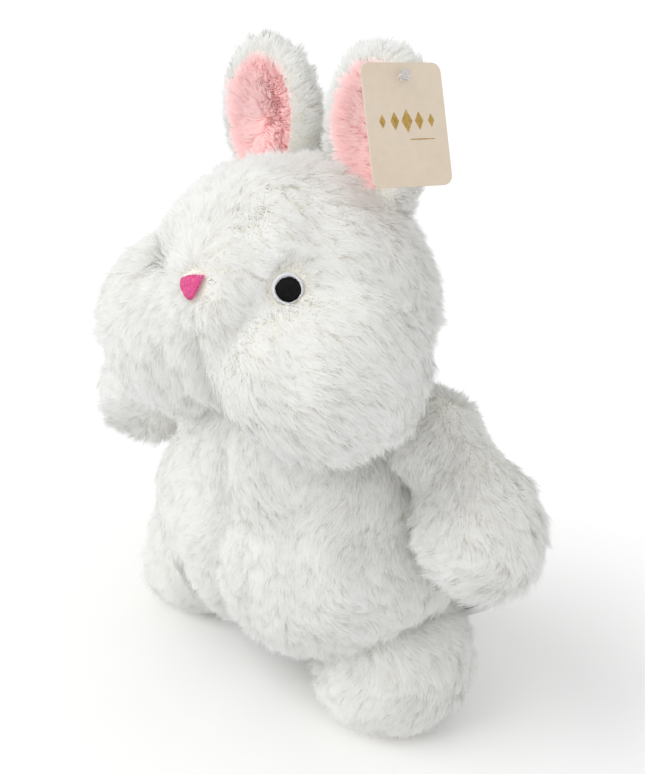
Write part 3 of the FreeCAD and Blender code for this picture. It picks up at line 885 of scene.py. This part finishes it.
def satin(name, node, normal, along, across, gap, finish, seed, outline=disc, scale=1.0):
    """Parallel stitches, each as long as the outline is there."""
    rng = np.random.default_rng(seed)
    points = cad(node)[0]
    middle = (points.min(0) + points.max(0)) / 2
    wide = scale * np.abs((points - middle) @ across).max()
    tall = scale * np.abs((points - middle) @ along).max()
    starts, ends = [], []
    levels = np.linspace(-1, 1, 121)
    for u in np.arange(-wide + 0.3 * gap, wide, gap):
        inside = [v for v in levels if outline(u / wide, v)]
        if len(inside) > 6:
            low, high = np.array((inside[0], inside[-1])) * tall + rng.uniform(-0.3, 0.3, 2) * gap
            starts.append(middle + across * u + along * low)
            ends.append(middle + across * u + along * high)
    stitches(name, np.array(starts), np.array(ends), normal, "head", node, finish)


def ring_stitches(name, node, pupil, normal, u, v, finish, seed):
    """Radial stitches around the pupil, out to the edge of the eye."""
    rng = np.random.default_rng(seed)
    points = cad(node)[0]
    middle = (points.min(0) + points.max(0)) / 2
    flat = points - middle
    radius = np.hypot(flat @ u, flat @ v).max()
    inner = cad(pupil)[0]
    centre = (inner.min(0) + inner.max(0)) / 2
    turn = np.linspace(0, 2 * math.pi, 84, endpoint=False)
    ray = np.cos(turn)[:, None] * u + np.sin(turn)[:, None] * v
    hole = np.hypot((inner - centre) @ u, (inner - centre) @ v).max()
    starts = centre + ray * (hole - 0.5 * MM)
    ends = middle + ray * (radius + rng.uniform(-0.1, 0.35, len(turn))[:, None] * MM)
    stitches(name, starts, ends, normal, "head", node, finish, swell=0.7 * MM)


NOSE_TURN = math.radians(22)


def embroidery():
    """Both eyes, each a ring round a pupil, and the nose, which is turned a little."""
    for seed, side in enumerate(SIDES):
        ring = side + "_eye_ring"
        pupil = side + "_eye_pupil"
        normal = outward(ring)
        u, v = upright(normal)
        ring_stitches(side + "_eye_ring_stitches", ring, pupil, normal, u, v, WHITE_THREAD,
                      40 + seed)
        satin(side + "_eye_pupil_stitches", pupil, normal, v, u, 0.5 * MM, BLACK_THREAD,
              50 + seed)
    normal = outward("nose")
    level, upward = upright(normal)
    u = math.cos(NOSE_TURN) * level + math.sin(NOSE_TURN) * upward
    v = math.cos(NOSE_TURN) * upward - math.sin(NOSE_TURN) * level
    satin("nose_stitches", "nose", normal, v, u, 0.5 * MM, PINK_THREAD,
          60, rounded_triangle, 1.12)


embroidery()


# ---------------------------------------------------------------- swing tag and its pin

def card_material():
    """Uncoated beige card with a fine fibre."""
    made, tree, shader = material("tag_card_cover", Roughness=0.55, Specular_IOR_Level=0.35)
    place = add(tree, "ShaderNodeTexCoord").outputs["Object"]
    fibre = add(tree, "ShaderNodeTexNoise", {"Vector": place, "Scale": 260.0, "Detail": 6.0})
    cloud = add(tree, "ShaderNodeTexNoise", {"Vector": place, "Scale": 30.0, "Detail": 2.0})
    tone = add(tree, "ShaderNodeMath", {0: fibre.outputs["Fac"], 1: cloud.outputs["Fac"]}, operation="ADD")
    half = add(tree, "ShaderNodeMath", {0: tone.outputs[0], 1: 0.5}, operation="MULTIPLY")
    tree.links.new(ramp(tree, half.outputs[0], [(0.3, (0.69, 0.585, 0.46)), (0.7, (0.75, 0.645, 0.52))]),
                   shader.inputs["Base Color"])
    bump = add(tree, "ShaderNodeBump", {"Height": fibre.outputs["Fac"], "Strength": 0.15,
                                        "Distance": 0.0002})
    tree.links.new(bump.outputs["Normal"], shader.inputs["Normal"])
    return made


def foil_material():
    """Pressed gold foil."""
    made, tree, shader = material("gold_foil", Metallic=1.0, Roughness=0.3)
    place = add(tree, "ShaderNodeTexCoord").outputs["Object"]
    noise = add(tree, "ShaderNodeTexNoise", {"Vector": place, "Scale": 400.0, "Detail": 3.0})
    tree.links.new(ramp(tree, noise.outputs["Fac"], [(0.3, (0.42, 0.26, 0.07)), (0.7, (0.62, 0.42, 0.14))]),
                   shader.inputs["Base Color"])
    return made


def nylon_material():
    """The clear plastic of the pin."""
    made, tree, shader = material("clear_nylon_cover", Roughness=0.18, Transmission_Weight=0.7, IOR=1.5)
    place = add(tree, "ShaderNodeTexCoord").outputs["Object"]
    noise = add(tree, "ShaderNodeTexNoise", {"Vector": place, "Scale": 500.0})
    tree.links.new(ramp(tree, noise.outputs["Fac"], [(0.3, (0.80, 0.81, 0.82)), (0.7, (0.90, 0.91, 0.92))]),
                   shader.inputs["Base Color"])
    return made


def use(node, finish):
    """A CAD node keeps its shape and gets this finish."""
    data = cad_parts[node].data
    data.materials.clear()
    data.materials.append(finish)


def prism(outline, origin, u, v, normal, lift, thick):
    """The points of a flat plate with this outline, standing on a card's face."""
    flat = origin + np.outer(outline[:, 0], u) + np.outer(outline[:, 1], v) + lift * normal
    return np.concatenate([flat, flat + thick * normal])


LOZENGE_HEIGHTS = (3.4, 4.6, 5.8, 4.6, 3.4)
LOZENGE_SLIMNESS = 0.52
LOZENGE_PITCH = 6.9 * MM
LOZENGE_LEVEL = 2.0 * MM
RULE_LEFT, RULE_RIGHT, RULE_LOW, RULE_HIGH = 1, 14.5, -7.4, -6.9
FOIL_SUNK = 0.05 * MM
FOIL_THICKNESS = 0.12 * MM


def tag_motif():
    """A row of plain gold lozenges over a thin rule, where the foil printing is."""
    middle, normal, long_way, _ = flat_frame("swing_tag")
    if normal[1] > 0:
        normal = -normal
    if long_way[2] < 0:
        long_way = -long_way
    across = np.cross(long_way, normal)
    points = cad("swing_tag")[0]
    face = ((points - middle) @ normal).max()
    shapes = []
    for order, tall in enumerate(LOZENGE_HEIGHTS):
        at = (order - len(LOZENGE_HEIGHTS) // 2) * LOZENGE_PITCH
        wide = LOZENGE_SLIMNESS * tall
        shapes.append(np.array([(-wide, 0), (0, -tall), (wide, 0), (0, tall)]) * MM + (at, LOZENGE_LEVEL))
    shapes.append(np.array([(RULE_LEFT, RULE_LOW), (RULE_RIGHT, RULE_LOW), (RULE_RIGHT, RULE_HIGH),
                            (RULE_LEFT, RULE_HIGH)]) * MM)
    held, faces, first = [], [], 0
    for outline in shapes:
        held.append(prism(outline, middle, across, long_way, normal, face - FOIL_SUNK,
                          FOIL_THICKNESS))
        size = len(outline)
        faces.append(first + size + np.arange(size)[None, :])
        turn = np.arange(size)
        following = (turn + 1) % size
        faces.append(first + np.stack([turn, following, following + size, turn + size], 1))
        first += 2 * size
    made = mesh_object("tag_gold_motif", np.concatenate(held), faces)
    made.data.polygons.foreach_set("use_smooth", np.zeros(len(made.data.polygons), bool))
    made.data.materials.append(foil_material())
    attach(made, "tag")


use("swing_tag", card_material())
use("tag_fastener", nylon_material())
tag_motif()


# ---------------------------------------------------------------- sewn labels

def satin_material(name, dark, light, roughness):
    """Woven satin: fine crossed ribs."""
    made, tree, shader = material(name, Roughness=roughness, Sheen_Weight=0.15)
    place = add(tree, "ShaderNodeTexCoord").outputs["Object"]
    warp = add(tree, "ShaderNodeTexWave", {"Vector": place, "Scale": 700.0, "Distortion": 0.4},
               bands_direction="Z")
    weft = add(tree, "ShaderNodeTexWave", {"Vector": place, "Scale": 450.0, "Distortion": 0.4},
               bands_direction="X")
    both = add(tree, "ShaderNodeMath", {0: warp.outputs["Fac"], 1: weft.outputs["Fac"]},
               operation="MULTIPLY")
    tree.links.new(ramp(tree, both.outputs[0], [(0.0, dark), (1.0, light)]), shader.inputs["Base Color"])
    bump = add(tree, "ShaderNodeBump", {"Height": both.outputs[0], "Strength": 0.4, "Distance": 0.0002})
    tree.links.new(bump.outputs["Normal"], shader.inputs["Normal"])
    return made


LABEL_THICKNESS = 0.18 * MM
LABEL_ROWS, LABEL_STEPS = 17, 33


def folded_label(node, finish, gap, curl, point):
    """A strip folded back on itself and sewn in by its two ends, in the place of its CAD leaf."""
    points = cad(node)[0]
    middle, normal, long_way, short_way = flat_frame(node)
    tall, wide = (long_way, short_way) if abs(long_way[2]) > abs(short_way[2]) else (short_way, long_way)
    tall = tall if tall[2] > 0 else -tall
    wide = wide if wide[0] > 0 else -wide
    normal = np.cross(tall, wide)
    reach = np.ptp((points - middle) @ wide)
    height = np.ptp((points - middle) @ tall)
    share = np.linspace(-1, 1, LABEL_STEPS)
    u = reach * (1 - np.abs(share)) - reach / 2
    turn = gap * np.clip(share * 3, -1, 1)
    held = []
    for level in np.linspace(-0.5, 0.5, LABEL_ROWS):
        bend = curl * ((u + reach / 2) / reach) ** 2 * (1 + 0.5 * level)
        tip = point * (1 - np.abs(share)) ** 3 * level * height
        line = (middle + np.outer(u, wide) + np.outer(turn + bend, normal)
                + np.outer(level * height - tip, tall))
        held.append(line)
    grid = np.array(held)
    index = np.arange(LABEL_ROWS * LABEL_STEPS).reshape(LABEL_ROWS, LABEL_STEPS)
    quads = np.stack([index[:-1, :-1], index[:-1, 1:], index[1:, 1:], index[1:, :-1]], -1).reshape(-1, 4)
    made = mesh_object(node + "_strip", grid.reshape(-1, 3), [quads])
    thick = made.modifiers.new("thickness", "SOLIDIFY")
    thick.thickness = LABEL_THICKNESS
    thick.offset = 0
    made.data.materials.append(finish)
    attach(made, "labels")
    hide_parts(node)


BLACK_SATIN = satin_material("black_satin_cover", (0.004, 0.004, 0.005), (0.02, 0.02, 0.022), 0.5)
WHITE_SATIN = satin_material("white_satin_cover", (0.70, 0.70, 0.71), (0.88, 0.88, 0.88), 0.45)
folded_label("black_label", BLACK_SATIN, gap=0.3 * MM, curl=-1.0 * MM, point=0.0)
folded_label("care_label", WHITE_SATIN, gap=0.35 * MM, curl=4.0 * MM, point=0.35)
